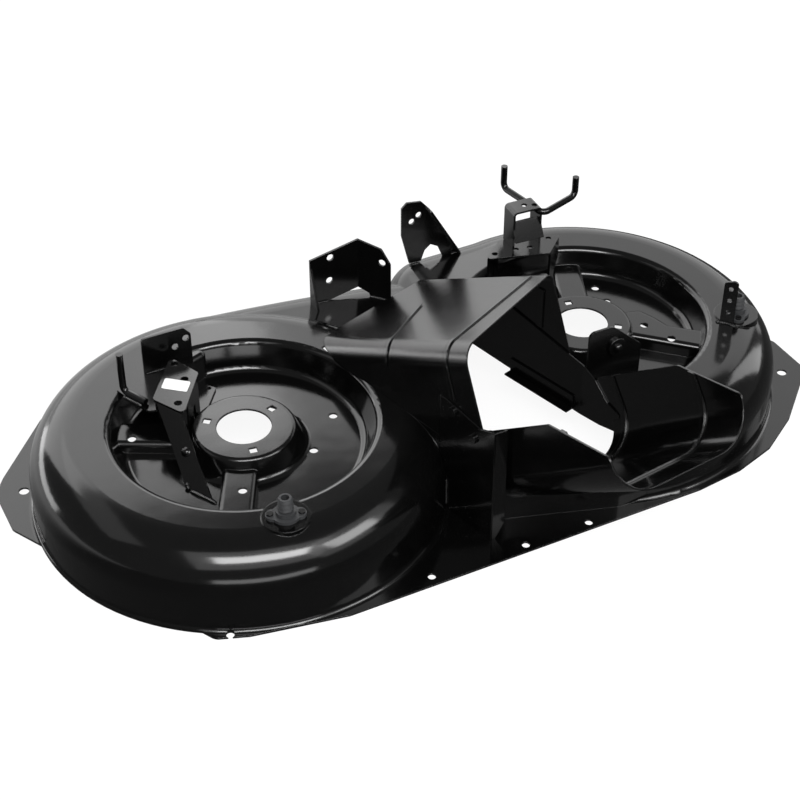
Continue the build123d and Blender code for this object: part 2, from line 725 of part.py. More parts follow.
def outlet_trough():
    """Rising U trough, its arms cut down towards the rear, with two pressed ribs."""
    axis, cross, lift = trough_frame()
    under = -20.0
    keep = [
        (TROUGH_FRONT, under),
        (TROUGH_END, under),
        (TROUGH_END, TROUGH_SHALLOW),
        (TROUGH_PEAK, TROUGH_DEEP),
        (TROUGH_FRONT, TROUGH_DEEP),
    ]
    plane = Plane(origin=TROUGH_ORIGIN, x_dir=axis, z_dir=axis.cross(lift))
    keeper = extrude(plane * outline(keep, [0.0, 0.0, 10.0, 12.0, 0.0]), FAR / 3, both=True)
    reach = TROUGH_DEEP + CUT
    sheet = trough_bar(0.0, TROUGH_FRONT, TROUGH_END, reach)
    sheet -= trough_bar(SHEET, TROUGH_FRONT - CUT, TROUGH_END + CUT, reach + CUT)
    for place in TROUGH_RIBS:
        rib = trough_bar(SHEET / 2, place, place + TROUGH_RIB_W, reach)
        rib -= trough_bar(SHEET + TROUGH_RIB_RISE, place - CUT, place + CUT, reach + CUT)
        sheet += rib
    sheet = sheet & keeper
    sheet -= half_space(*trough_front())
    return sheet - half_space((0, -LIP_REACH, 0), (0, -1, 0))


def spindle_cuts(x, bolt_turn, dish_holes):
    """Bore, three square bolt holes and the dish holes of one pan, as a list of cutters."""
    cuts = [drill(x, 0, HUB_Z, SPINDLE_BORE_R)]
    square = Box(SPINDLE_BOLT_SIDE, SPINDLE_BOLT_SIDE, CUT)
    for k in range(3):
        ring = Rot(0, 0, bolt_turn + 120.0 * k) * Pos(SPINDLE_BOLT_R, 0, 0)
        cuts.append(Pos(x, 0, HUB_Z) * ring * square)
    for radius, angle in dish_holes:
        dx, dy = polar(radius, angle)
        cuts.append(drill(x + dx, dy, FLOOR_Z, DISH_HOLE_R))
    return cuts


def deck_shell():
    """The pressing: pans, bridge and flange, with the tunnel throat and all holes cut."""
    left = offset_open(LEFT_WALL, SHEET + 1.0)
    throat = [
        line_at(left, LEFT_WALL[0][1] - 18.0),
        line_at(left, LEFT_WALL[1][1] + 10.0),
        (REAR_WALL[0][0], REAR_WALL[0][1] + 4.0),
        (120.0, -235.0),
        TAIL_LINE[1],
        RIGHT_WALL[1],
        line_at(RIGHT_WALL, RIGHT_WALL_FRONT[1] - 17.0),
    ]
    deck = envelope - hollow
    deck -= prism(throat, -CUT, FAR / 4)
    deck -= trough_bar(0.0, TROUGH_FRONT - CUT, TROUGH_END + CUT, FAR / 4)
    deck -= spindle_cuts(SPINDLES[0], LEFT_BOLT_TURN, LEFT_DISH_HOLES)
    deck -= spindle_cuts(SPINDLES[1], RIGHT_BOLT_TURN, RIGHT_DISH_HOLES)
    plan = flange_face()
    rim = extrude(plan, SHEET)
    for pan in (LEFT_PAN, RIGHT_PAN):
        rim += pan_foot(pan) & extrude(plan, CROWN_Z)
    for x, y in FLANGE_HOLES:
        rim -= drill(x, y, 0, FLANGE_HOLE_R)
    for sign in (1.0, -1.0):
        rim -= drill(sign * EAR_HOLE[0], sign * EAR_HOLE[1], 0, EAR_HOLE_R)
    return deck + (rim - hollow)


def idler_bracket():
    """Small table over the left dish, with an arched leg and foot in the dish and a leg on the base."""
    top = moved(IDLER_TOP, (SPINDLES[0], 0))
    body = table(top, IDLER_Z, PLATE, IDLER_CORNER)
    for x, y in moved(IDLER_HOLES, (SPINDLES[0], 0)):
        body -= drill(x, y, IDLER_Z, IDLER_HOLE_R)
    under = IDLER_Z - PLATE
    near, far = IDLER_LEG
    arch_near, arch_far, arch_top = IDLER_ARCH
    inner = [
        (near, FLOOR_Z),
        (near, under),
        (far, under),
        (far, FLOOR_Z),
        (arch_far, FLOOR_Z),
        (arch_far - 4.0, arch_top),
        (arch_near + 4.0, arch_top),
        (arch_near, FLOOR_Z),
    ]
    body += fence(top[1], top[2], inner, PLATE)
    outer = [(near, BASE_TOP), (near, under), (far, under), (far, BASE_TOP)]
    body += fence(top[3], top[0], outer, PLATE)
    foot = table(moved(IDLER_FOOT, (SPINDLES[0], 0)), FLOOR_Z + PLATE, PLATE, 3.0)
    body += foot - drill(SPINDLES[0] + IDLER_FOOT_HOLE[0], IDLER_FOOT_HOLE[1], FLOOR_Z, STRIP_HOLE_R)
    return body - envelope


def idler_base():
    """Plate from the left rim under the outer leg of the idler bracket."""
    corners = moved(IDLER_BASE, (SPINDLES[0], 0))
    return table(corners, BASE_TOP, PLATE, [4.0, 8.0, 4.0, 4.0, 6.0]) - envelope


def idler_brace():
    """Wide strap that slopes from the near edge of the idler bracket down to the dish floor."""
    top = moved(IDLER_TOP, (SPINDLES[0], 0))
    high = IDLER_Z - PLATE
    left = Vector(*top[3], high)
    right = Vector(*top[2], high)
    foot = Vector(SPINDLES[0] + BRACE_FOOT[0], BRACE_FOOT[1], FLOOR_Z)
    plane = Plane(origin=left, x_dir=right - left, z_dir=(right - left).cross(foot - left))
    wide = (right - left).length
    low = plane.to_local_coords(foot)
    run = low.Y + math.copysign(CUT / 10, low.Y)
    corners = [
        (IDLER_CORNER, 0.0),
        (wide - IDLER_CORNER, 0.0),
        (low.X + BRACE_FOOT_W, run),
        (low.X, run),
    ]
    strap = extrude(plane * outline(corners), PLATE)
    strap -= half_space((0, 0, high), (0, 0, 1))
    return strap - envelope


def left_belt_keeper():
    """Bent rod that stands on the base plate and turns in along it."""
    z = BASE_TOP + ROD_D / 2
    (x0, y0), (x1, y1) = moved(LEFT_KEEPER, (SPINDLES[0], 0))
    return rod([(x0, y0, LEFT_KEEPER_TOP), (x0, y0, z), (x1, y1, z)], ROD_BEND)


def left_hanger_plate():
    """Upright plate with two holes at the front of the left dish."""
    corners = [*LEFT_HANGER, (LEFT_HANGER_STEP, FLOOR_Z), (LEFT_HANGER_STEP, BASE_TOP)]
    corners = moved(corners, (SPINDLES[0], 0))
    body = upright(corners, LEFT_HANGER_Y, PLATE, [0.0, 5.0, 6.0, 6.0, 0.0, 0.0, 0.0])
    for x, z in moved(LEFT_HANGER_HOLES, (SPINDLES[0], 0)):
        body -= drill_rear(x, LEFT_HANGER_Y, z, TAB_HOLE_R)
    return body - envelope


def front_angle_hanger():
    """Upright angle ahead of the tunnel: rear facing plate, folded wing and a short left return."""
    body = upright([*ANGLE_PLATE, ANGLE_FOOT], ANGLE_Y, PLATE)
    fold = (ANGLE_PLATE[2][0], ANGLE_Y)
    wing = [*ANGLE_WING, *ANGLE_WING_FOOT]
    wing_line = (fold, ANGLE_WING_END)
    body += fence(*wing_line, wing, PLATE, [0.0, 0.0, 4.0, 6.0, 0.0, 0.0, 0.0])
    edge = ANGLE_PLATE[0][0] + PLATE
    body += fence((edge, ANGLE_Y), (edge, ANGLE_Y - CUT), ANGLE_RETURN, PLATE)
    for x, z in ANGLE_HOLES:
        body -= drill_rear(x, ANGLE_Y, z, HANGER_HOLE_R)
    s, z = ANGLE_WING_HOLE
    body -= wall_plane(*wing_line) * (Pos(s, z, 0) * Cylinder(HANGER_HOLE_R, CUT / 2))
    return body - envelope


def front_hanger_tab():
    """Upright tab with two holes and an arch ahead of the right dish, its right edge turned back."""
    corners = [*TAB_LEFT, *TAB_RIGHT, *TAB_ARCH]
    body = upright(corners, TAB_Y, PLATE)
    slope = [TAB_RIGHT[1], TAB_RIGHT[2], TAB_RIGHT[3]]
    inner = [(x - PLATE, z - PLATE / 2) for x, z in reversed(slope)]
    body += upright([*slope, *inner], TAB_Y, TAB_RETURN)
    for x, z in TAB_HOLES:
        body -= drill_rear(x, TAB_Y, z, TAB_HOLE_R)
    return body - envelope


def tower_spot():
    """Plan place of the tower's middle."""
    return (SPINDLES[1] + TOWER_MID[0], TOWER_MID[1])


def tower_base():
    """Folded table over the front of the right dish, on a leg at each end."""
    top = moved(TOWER_TOP, tower_spot())
    body = table(top, TOWER_Z, PLATE, TOWER_CORNER)
    for x, y in moved(TOWER_HOLES, tower_spot()):
        body -= drill(x, y, TOWER_Z, TOWER_HOLE_R)
    under = TOWER_Z - PLATE
    near, far = TOWER_LEG
    arch_near, arch_far, arch_top = TOWER_ARCH
    left = [
        (near, FLOOR_Z),
        (near, under),
        (far, under),
        (far, FLOOR_Z),
        (arch_far, FLOOR_Z),
        (arch_far - 3.0, arch_top),
        (arch_near + 3.0, arch_top),
        (arch_near, FLOOR_Z),
    ]
    body += fence(top[0], top[1], left, PLATE)
    right = [
        (near, TOWER_EAR[0]),
        (near, under),
        (far, under),
        (far, FLOOR_Z),
        (TOWER_FOOT, FLOOR_Z),
        (TOWER_FOOT, TOWER_EAR[1]),
    ]
    body += fence(top[2], top[3], right, PLATE, [8.0, 0.0, 0.0, 0.0, 0.0, 6.0])
    return body - envelope


def tower_cap():
    """Channel on the tower base: a top with holes, two side walls and a sloping front lip."""
    half = CAP_W / 2
    section = [
        (-half, TOWER_Z),
        (-half, CAP_Z),
        (half, CAP_Z),
        (half, TOWER_Z),
        (half - PLATE, TOWER_Z),
        (half - PLATE, CAP_Z - PLATE),
        (-half + PLATE, CAP_Z - PLATE),
        (-half + PLATE, TOWER_Z),
    ]
    bend = CAP_CORNER - PLATE
    radii = [0.0, CAP_CORNER, CAP_CORNER, 0.0, 0.0, bend, bend, 0.0]
    body = extrude(Plane.XZ * outline(section, radii), CAP_D / 2, both=True)
    (low_y, low_z), (high_y, high_z) = CAP_LIP
    front = -CAP_D / 2
    lip = [
        (front + low_y, TOWER_Z + low_z),
        (front + high_y, TOWER_Z + high_z),
        (front + high_y + PLATE, TOWER_Z + high_z),
        (front + low_y + PLATE, TOWER_Z + low_z),
    ]
    body += extrude(Plane.YZ * outline(lip), half, both=True)
    for x, y in CAP_HOLES:
        body -= drill(x, y, CAP_Z, CAP_HOLE_R)
    x, y = tower_spot()
    placed = Pos(x + CAP_MID[0], y + CAP_MID[1], 0) * Rot(0, 0, CAP_TURN) * body
    return placed - tower_belt_keeper()


def tower_belt_keeper():
    """Rod held under the top of the tower cap, with an upright prong at each end."""
    z = CAP_Z - PLATE - ROD_D / 2
    level = [(x, y, z) for x, y in moved(KEEPER_PATH, tower_spot())]
    first = (*level[0][:2], z + KEEPER_TOPS[0])
    last = (*level[-1][:2], z + KEEPER_TOPS[1])
    return rod([first, *level, last], ROD_BEND)


def lift_plate():
    """Upright plate behind the right hub with a sloping top."""
    x0 = RIGHT_WALL[1][0] + SHEET
    (peak_x, peak_z), (end_x, end_z) = LIFT_PLATE
    corners = [(x0, LIFT_LOW), (x0, peak_z), (peak_x, peak_z), (end_x, end_z), (end_x, LIFT_LOW)]
    body = upright(corners, LIFT_Y, PLATE, [0.0, 8.0, 12.0, 6.0, 0.0])
    body -= drill_rear(LIFT_SPOT[0], LIFT_Y, LIFT_SPOT[1], LIFT_STUD_R)
    return body - envelope


def lift_nut():
    """Washer and domed stud through the lift plate, turned as one profile."""
    radius, thick = LIFT_WASHER
    dome = LIFT_STUD_OUT - thick
    corners = [
        (0.0, -PLATE),
        (LIFT_STUD_R, -PLATE),
        (LIFT_STUD_R, 0.0),
        (radius, 0.0),
        (radius, thick),
        (LIFT_STUD_R, thick),
        (LIFT_STUD_R, thick + dome),
        (0.0, thick + dome),
    ]
    face = outline(corners, [0.0, 0.0, 0.0, 0.0, 1.0, 0.0, dome - 0.5, 0.0])
    stud = revolve(Plane.XZ * face, Axis.Z)
    return Pos(LIFT_SPOT[0], LIFT_Y - PLATE, LIFT_SPOT[1]) * Rot(90, 0, 0) * stud


def right_hanger_tab():
    """Upright strip with three holes on the right crown."""
    (x0, y0), (x1, y1) = STRIP_LINE
    wide = math.hypot(x1 - x0, y1 - y0)
    strip = [(0.0, FLOOR_Z), (0.0, STRIP_TOP[0]), (wide, STRIP_TOP[1]), (wide, FLOOR_Z)]
    body = fence(*STRIP_LINE, strip, PLATE, [0.0, 5.0, 6.0, 0.0])
    for z in STRIP_HOLES:
        body -= wall_plane(*STRIP_LINE) * (Pos(wide / 2, z, 0) * Cylinder(STRIP_HOLE_R, CUT))
    return body - envelope


def wash_nozzle(x, y, turn):
    """Hose nozzle: eared plate, and a collar and barbed stem turned as one hollow profile."""
    wide, deep = NOZZLE_EAR
    ears = outline([(-wide, -deep), (wide, -deep), (wide, deep), (-wide, deep)], deep - 0.1)
    plate = extrude(ears + Circle(NOZZLE_PLATE_R), NOZZLE_PLATE)
    collar_r, collar_h = NOZZLE_COLLAR
    z = NOZZLE_PLATE + collar_h
    wall = [(NOZZLE_BORE_R, NOZZLE_PLATE), (collar_r, NOZZLE_PLATE), (collar_r, z), (NOZZLE_STEM_R, z)]
    for k in range(NOZZLE_BARBS):
        foot = z + k * NOZZLE_BARB_H
        wall.append((NOZZLE_STEM_R, foot + NOZZLE_BARB_H / 3))
        wall.append((NOZZLE_BARB_R, foot + NOZZLE_BARB_H / 3))
        wall.append((NOZZLE_STEM_R, foot + NOZZLE_BARB_H))
    wall.append((NOZZLE_BORE_R, z + NOZZLE_BARBS * NOZZLE_BARB_H))
    body = plate - Cylinder(NOZZLE_BORE_R, CUT)
    body += revolve(Plane.XZ * make_face(Polyline(*wall, close=True)), Axis.Z)
    for side in (-RIVET_OUT, RIVET_OUT):
        body -= drill(side, 0, 0, RIVET_R)
    return Pos(x, y, PAD_Z) * Rot(0, 0, turn) * body


def nozzle_rivets():
    """Rivets through the nozzle ears."""
    rivet = post(RIVET_R, NOZZLE_PLATE)
    rivet += Pos(0, 0, NOZZLE_PLATE) * post(RIVET_HEAD_R, RIVET_HEAD_H)
    group = []
    for x, y, turn in NOZZLE_SPOTS:
        for side in (-RIVET_OUT, RIVET_OUT):
            group.append(Pos(x, y, PAD_Z) * Rot(0, 0, turn) * Pos(side, 0, 0) * rivet)
    return Compound(children=group)


envelope = deck_body(0.0)
hollow = deck_body(SHEET)

pieces = {
    "deck_shell": deck_shell(),
    "tunnel_hood": tunnel_hood(),
    "tunnel_baffle": tunnel_baffle(),
    "baffle_strip": baffle_strip(),
    "outlet_gusset": outlet_gusset(),
    "outlet_trough": outlet_trough(),
    "idler_bracket": idler_bracket(),
    "idler_base": idler_base(),
    "idler_brace": idler_brace(),
    "left_belt_keeper": left_belt_keeper(),
    "left_hanger_plate": left_hanger_plate(),
    "front_angle_hanger": front_angle_hanger(),
    "front_hanger_tab": front_hanger_tab(),
    "tower_base": tower_base(),
    "tower_cap": tower_cap(),
    "tower_belt_keeper": tower_belt_keeper(),
    "lift_plate": lift_plate(),
    "lift_nut": lift_nut(),
    "right_hanger_tab": right_hanger_tab(),
    "left_wash_nozzle": wash_nozzle(*NOZZLE_SPOTS[0]),
    "right_wash_nozzle": wash_nozzle(*NOZZLE_SPOTS[1]),
    "nozzle_rivets": nozzle_rivets(),
    "gusset_bolts": gusset_bolts(),
}

shift = Pos(0, (LIP_REACH - FRONT_REACH) / 2, 0)
os.makedirs(OUT, exist_ok=True)
for name, piece in pieces.items():
    placed = shift * piece
    export_step(placed, os.path.join(OUT, name + ".step"))
    box = placed.bounding_box()
    print(name, len(placed.solids()), "solids", [round(v) for v in (*box.min, *box.max)])
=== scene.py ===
# %% [markdown]
# # A black enamelled mower deck
# The deck is a pressed steel shell with two round blade pans. A tunnel climbs from between the pans
# to a trough at the rear, and small brackets stand welded on top. The measured solids come in as a
# fixed frame. This lesson dresses them: enamel, weld beads, a blank label, light and a camera.

# %% Load the measured solids
import json
import math

import bpy
import numpy as np
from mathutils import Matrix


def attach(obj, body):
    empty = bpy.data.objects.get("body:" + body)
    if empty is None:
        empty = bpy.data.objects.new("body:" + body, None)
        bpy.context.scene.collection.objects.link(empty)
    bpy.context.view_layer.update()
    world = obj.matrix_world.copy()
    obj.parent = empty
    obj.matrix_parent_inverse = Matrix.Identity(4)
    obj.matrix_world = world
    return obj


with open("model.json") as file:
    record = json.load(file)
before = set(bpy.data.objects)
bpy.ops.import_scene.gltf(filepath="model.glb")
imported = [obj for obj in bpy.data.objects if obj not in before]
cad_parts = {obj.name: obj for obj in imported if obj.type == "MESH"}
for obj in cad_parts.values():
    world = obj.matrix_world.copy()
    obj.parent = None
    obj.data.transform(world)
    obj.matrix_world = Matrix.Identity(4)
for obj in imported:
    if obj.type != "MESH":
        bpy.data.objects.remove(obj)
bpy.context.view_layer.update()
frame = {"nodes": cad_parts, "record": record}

# %% [markdown]
# ## Writing shader maths as sums
# A shader graph is a sum drawn with boxes. Wrapping a socket in a small class lets Python's own
# operators draw those boxes, so `0.2 + 0.1 * noise` adds two Math nodes. One method makes any other
# node: it sets the node's own settings first and then fills or links its inputs.

# %% A socket that can be added and multiplied


class Sum:
    """A shader value: operators on it add Math nodes to the same tree."""

    def __init__(self, tree, socket):
        self.tree = tree
        self.socket = socket

    def node(self, kind, settings=None, inputs=None, out=0):
        """Add a node of a kind, set its settings, fill or link its inputs and return one output."""
        made = self.tree.nodes.new(kind)
        for name, value in (settings or {}).items():
            setattr(made, name, value)
        for name, value in (inputs or {}).items():
            if isinstance(value, Sum):
                self.tree.links.new(value.socket, made.inputs[name])
            else:
                made.inputs[name].default_value = value
        return Sum(self.tree, made.outputs[out])

    def math(self, operation, left, right):
        """One Math node."""
        return self.node("ShaderNodeMath", {"operation": operation}, {0: left, 1: right})

    def __add__(self, other):
        return self.math("ADD", self, other)

    def __mul__(self, other):
        return self.math("MULTIPLY", self, other)

    def __sub__(self, other):
        return self.math("SUBTRACT", self, other)

    def __rsub__(self, other):
        return self.math("SUBTRACT", other, self)

    __radd__ = __add__
    __rmul__ = __mul__

    def noise(self, scale, detail):
        """Noise over these coordinates, about 0 to 1."""
        return self.node("ShaderNodeTexNoise", None, {"Vector": self, "Scale": scale, "Detail": detail})

    def blend(self, low, high):
        """Colour that goes from low to high as this value goes from 0 to 1."""
        inputs = {"Factor": self, "A": low, "B": high}
        return self.node("ShaderNodeMix", {"data_type": "RGBA"}, inputs, out=2)


def start_material(name):
    """A new material: itself, its surface shader and its Object coordinates as a Sum."""
    material = bpy.data.materials.new(name)
    material.use_nodes = True
    tree = material.node_tree
    place = tree.nodes.new("ShaderNodeTexCoord")
    return material, tree.nodes["Principled BSDF"], Sum(tree, place.outputs["Object"])


def feed(shader, name, value):
    """Link a varying value to a shader input."""
    value.tree.links.new(value.socket, shader.inputs[name])


print("shader sums ready")

# %% [markdown]
# ## Black enamel
# A deck like this can be dipped and baked in black enamel. It is nearly a mirror, but not flat: it has
# a fine orange peel and slow waves where it ran before it set. Both go in as bump, because they only
# bend the reflections. Roughness wanders a little, as handling dulls the film in patches. Real sheet
# has softened edges that catch the light, so a Bevel node rounds the shading along every edge.

# %% Enamel
ENAMEL_DARK = (0.0010, 0.0010, 0.0011, 1.0)
ENAMEL_DUSTY = (0.0022, 0.0022, 0.0021, 1.0)
ENAMEL_SPECULAR = 0.5
PATCH_SCALE = 7.0
DUST_SCALE = 60.0
WAVE_SCALE = 22.0
PEEL_SCALE = 420.0
ROUGH_DRIFT = 0.06
BUMP_DEPTH = 0.001
EDGE_SAMPLES = 4


def enamel(name, rough, peel, wave, edge):
    """Black enamel: colour and roughness drift with slow noise, bump from peel and waves, soft edges."""
    material, shader, place = start_material(name)
    shader.inputs["Specular IOR Level"].default_value = ENAMEL_SPECULAR
    feed(shader, "Base Color", place.noise(DUST_SCALE, detail=4.0).blend(ENAMEL_DARK, ENAMEL_DUSTY))
    feed(shader, "Roughness", rough + ROUGH_DRIFT * (place.noise(PATCH_SCALE, detail=3.0) - 0.5))
    height = peel * place.noise(PEEL_SCALE, detail=1.0) + wave * place.noise(WAVE_SCALE, detail=1.0)
    soft = place.node("ShaderNodeBevel", {"samples": EDGE_SAMPLES}, {"Radius": edge})
    relief = {"Height": height, "Strength": 1.0, "Distance": BUMP_DEPTH, "Normal": soft}
    feed(shader, "Normal", place.node("ShaderNodeBump", None, relief))
    return material


SHELL_ENAMEL = enamel("shell_enamel", rough=0.125, peel=0.010, wave=0.20, edge=0.0018)
TUNNEL_ENAMEL = enamel("tunnel_enamel", rough=0.23, peel=0.010, wave=0.30, edge=0.0015)
BRACKET_ENAMEL = enamel("bracket_enamel", rough=0.17, peel=0.025, wave=0.10, edge=0.0008)
HARDWARE = enamel("hardware_enamel", rough=0.20, peel=0.020, wave=0.05, edge=0.0005)
print("enamels", SHELL_ENAMEL.name, TUNNEL_ENAMEL.name, BRACKET_ENAMEL.name, HARDWARE.name)

# %% [markdown]
# ## Nozzle plastic and label paper
# The hose nozzles are taken as plastic: dull, dark grey, faintly grained. The label on the idler
# bracket is plain coated paper. Both are far rougher than the enamel, so they get their own finish.

# %% Plastic and paper
DULL_SPECULAR = 0.4
CLOUD_SCALE = 40.0
CLOUD_ROUGH = 0.12
GRAIN_SCALE = 900.0
GRAIN_DEPTH = 0.0004


def dull_finish(name, low, high, rough, grain):
    """A dull finish: colour clouds between two shades, roughness follows, and a fine grain is bump."""
    material, shader, place = start_material(name)
    shader.inputs["Specular IOR Level"].default_value = DULL_SPECULAR
    cloud = place.noise(CLOUD_SCALE, detail=2.0)
    feed(shader, "Base Color", cloud.blend(low, high))
    feed(shader, "Roughness", rough + CLOUD_ROUGH * cloud)
    height = place.noise(GRAIN_SCALE, detail=2.0)
    relief = {"Height": height, "Strength": grain, "Distance": GRAIN_DEPTH}
    feed(shader, "Normal", place.node("ShaderNodeBump", None, relief))
    return material


PLASTIC_DARK = (0.020, 0.021, 0.022, 1.0)
PLASTIC_LIGHT = (0.040, 0.041, 0.043, 1.0)
PAPER_DARK = (0.86, 0.86, 0.85, 1.0)
PAPER_LIGHT = (0.92, 0.92, 0.91, 1.0)
PLASTIC = dull_finish("nozzle_plastic", PLASTIC_DARK, PLASTIC_LIGHT, rough=0.40, grain=0.4)
PAPER = dull_finish("label_paper", PAPER_DARK, PAPER_LIGHT, rough=0.45, grain=0.1)
print("dull finishes", PLASTIC.name, PAPER.name)

# %% [markdown]
# ## Dressing the solids
# The record says which slot each solid belongs to. The big pressings have their own enamels: the pans
# are the glossiest, and the tunnel's sheet is a little duller. Everything else goes by its slot.

# %% Finishes on the solids
SLOTS = {row["node"]: row["material_slot"] for row in frame["record"]["subparts"]}
BY_SLOT = {"nozzle_plastic": PLASTIC, "hardware": HARDWARE}
BY_NODE = {
    "deck_shell": SHELL_ENAMEL,
    "outlet_trough": SHELL_ENAMEL,
    "outlet_gusset": SHELL_ENAMEL,
    "tunnel_hood": TUNNEL_ENAMEL,
    "tunnel_baffle": TUNNEL_ENAMEL,
}
for name, piece in frame["nodes"].items():
    finish = BY_NODE.get(name) or BY_SLOT.get(SLOTS[name], BRACKET_ENAMEL)
    piece.data.materials.clear()
    piece.data.materials.append(finish)
print("dressed", len(frame["nodes"]), "solids")

# %% [markdown]
# ## From arrays to pieces
# Every added piece is a grid of points worked out with numpy. Its rows and columns become quads, the
# two end rows are closed by one face each, and a signed sum tells whether the faces look outwards.
# Places are given in millimetres about the middle of the line through the two spindle holes.

# %% Grid meshes
MM = 0.001
MOUNTS = {row["name"]: row["pos_m"] for row in frame["record"]["mounts"]}
SPINDLE_Y = MOUNTS["left_spindle_hole"][1]


def at(points):
    """Millimetres about the middle of the spindle line, as metres in the frame."""
    return np.asarray(points, float) * MM + (0.0, SPINDLE_Y, 0.0)


def unit(vectors):
    """Vectors scaled to length one."""
    return vectors / np.linalg.norm(vectors, axis=-1, keepdims=True)


def closed_grid(grid, start):
    """Points and faces of a grid that is a loop across and capped at both ends, numbered from start."""
    rows, columns = grid.shape[:2]
    r = np.arange(rows - 1)[:, None] * columns
    c = np.arange(columns)[None, :]
    n = (c + 1) % columns
    quads = np.stack([r + c, r + n, r + columns + n, r + columns + c], axis=-1).reshape(-1, 4)
    points = grid.reshape(-1, 3)
    corner = points[quads]
    middle = points.mean(axis=0)
    turn = np.cross(corner[:, 2] - corner[:, 0], corner[:, 3] - corner[:, 1])
    outward = np.sum(turn * (corner.mean(axis=1) - middle)) > 0.0
    caps = np.stack([c[0][::-1], c[0] + (rows - 1) * columns])
    if not outward:
        quads = quads[:, ::-1]
        caps = caps[:, ::-1]
    return points, (quads + start).tolist() + (caps + start).tolist()


def make_piece(name, parts, finish):
    """One object from several closed grids, riding with the deck."""
    points = np.zeros((0, 3))
    faces = []
    for part in parts:
        part_points, part_faces = closed_grid(part, len(points))
        points = np.vstack([points, part_points])
        faces += part_faces
    mesh = bpy.data.meshes.new(name)
    mesh.from_pydata(points.tolist(), [], faces)
    mesh.shade_smooth()
    mesh.materials.append(finish)
    piece = bpy.data.objects.new(name, mesh)
    bpy.context.scene.collection.objects.link(piece)
    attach(piece, "root")
    print(name, len(faces), "faces")
    return piece


print("spindle line at y", SPINDLE_Y)

# %% [markdown]
# ## Weld beads
# The brackets are welded to the shell by hand, and the enamel lies over the beads. A bead is a row of
# overlapping puddles, so its radius swells in a sine along the run and each swell leans back in the
# middle. A tube with that radius, half sunk in the joint, reads as a weld from any side.

# %% Bead
BEAD_RING = 14
BEAD_STEP = 0.35
PUDDLE = 2.6
PUDDLE_SWELL = 0.17
PUDDLE_LEAN = 0.16
HAND_DRIFT = 0.12
HAND_REACH = 2.3
FEWEST_ROWS = 12
END_POWER = 6
END_FILL = 0.998
UPRIGHT = 0.8


def bead(points, radius):
    """Tube along a run of points: radius = taper * (1 + sine of place and angle + slow hand drift)."""
    run = np.asarray(points, float)
    steps = np.linalg.norm(np.diff(run, axis=0), axis=1)
    travel = np.concatenate([[0.0], np.cumsum(steps)])
    s = np.linspace(0.0, travel[-1], max(int(travel[-1] / BEAD_STEP), FEWEST_ROWS))
    centre = np.stack([np.interp(s, travel, run[:, k]) for k in range(3)], axis=-1)
    along = unit(np.gradient(centre, axis=0))
    upright = abs(along[:, 2].mean()) > UPRIGHT
    side = unit(np.cross(along, (1.0, 0.0, 0.0) if upright else (0.0, 0.0, 1.0)))
    over = np.cross(side, along)
    angle = np.linspace(0.0, 2.0 * np.pi, BEAD_RING, endpoint=False)
    phase = s[:, None] / PUDDLE + PUDDLE_LEAN * np.cos(angle)
    drift = HAND_DRIFT * np.sin(s / (HAND_REACH * PUDDLE) + run[0, 0])
    share = 2.0 * s / travel[-1] - 1.0
    taper = np.sqrt(1.0 - share**END_POWER * END_FILL)
    swell = radius * taper[:, None] * (1.0 + PUDDLE_SWELL * np.sin(2.0 * np.pi * phase) + drift[:, None])
    spoke = np.cos(angle)[:, None] * side[:, None, :] + np.sin(angle)[:, None] * over[:, None, :]
    return at(centre[:, None, :] + swell[..., None] * spoke)


print("puddles every", PUDDLE, "mm")

# %% [markdown]
# Each run below follows the joint between a bracket's foot and the sheet under it, on the side that a
# welder could reach. The crown, the dish floor and the idler's base plate give most of the heights.

# %% Bead runs
CROWN = 108.0
DISH = 70.0
BASE = 111.0
BEADS = {
    "weld_idler_brace": (
        ([(-339.5, -53.0, DISH), (-319.5, -90.0, DISH)], 3.4),
        ([(-340.5, -52.0, 71.5), (-340.0, -44.0, 75.5)], 2.8),
    ),
    "weld_front_tab": (
        ([(95.0, 214.6, 105.4), (112.0, 214.6, 105.4)], 2.6),
        ([(160.0, 214.6, 105.4), (176.0, 214.6, 105.0)], 2.6),
    ),
    "weld_front_angle": (
        ([(-60.0, 199.6, 98.0), (-36.0, 199.6, 96.7)], 2.4),
        ([(20.0, 187.0, 94.0), (39.5, 166.5, 93.0)], 2.4),
    ),
    "weld_left_hanger": (
        ([(-321.0, 137.6, BASE), (-281.0, 137.6, BASE)], 2.4),
        ([(-277.0, 137.6, DISH), (-259.0, 137.6, DISH)], 2.4),
    ),
    "weld_tower": (
        ([(267.6, 110.6, DISH), (253.0, 97.0, DISH)], 2.8),
    ),
    "weld_lift_plate": (
        ([(204.0, -112.6, DISH), (257.0, -112.6, DISH)], 2.8),
    ),
    "weld_right_tab": (
        ([(397.0, -95.0, CROWN), (410.5, -109.0, CROWN)], 3.2),
        ([(399.0, -91.5, CROWN), (395.5, -96.0, CROWN)], 3.0),
    ),
    "weld_outlet_gusset": (
        ([(-42.6, -153.2, 8.0), (-42.6, -153.2, 50.0)], 2.6),
    ),
    "weld_left_keeper": (
        ([(-362.5, 106.0, BASE), (-348.5, 78.0, BASE)], 2.8),
        ([(-353.0, 107.0, BASE), (-342.0, 85.0, BASE)], 2.8),
    ),
}
for name, runs in BEADS.items():
    make_piece(name, [bead(points, radius) for points, radius in runs], BRACKET_ENAMEL)

# %% [markdown]
# ## Bolt on the brace
# A round headed bolt sits half way down the brace. Its head is a quarter ellipse turned round the
# bolt's axis, on a thin washer: a profile carried round a circle.

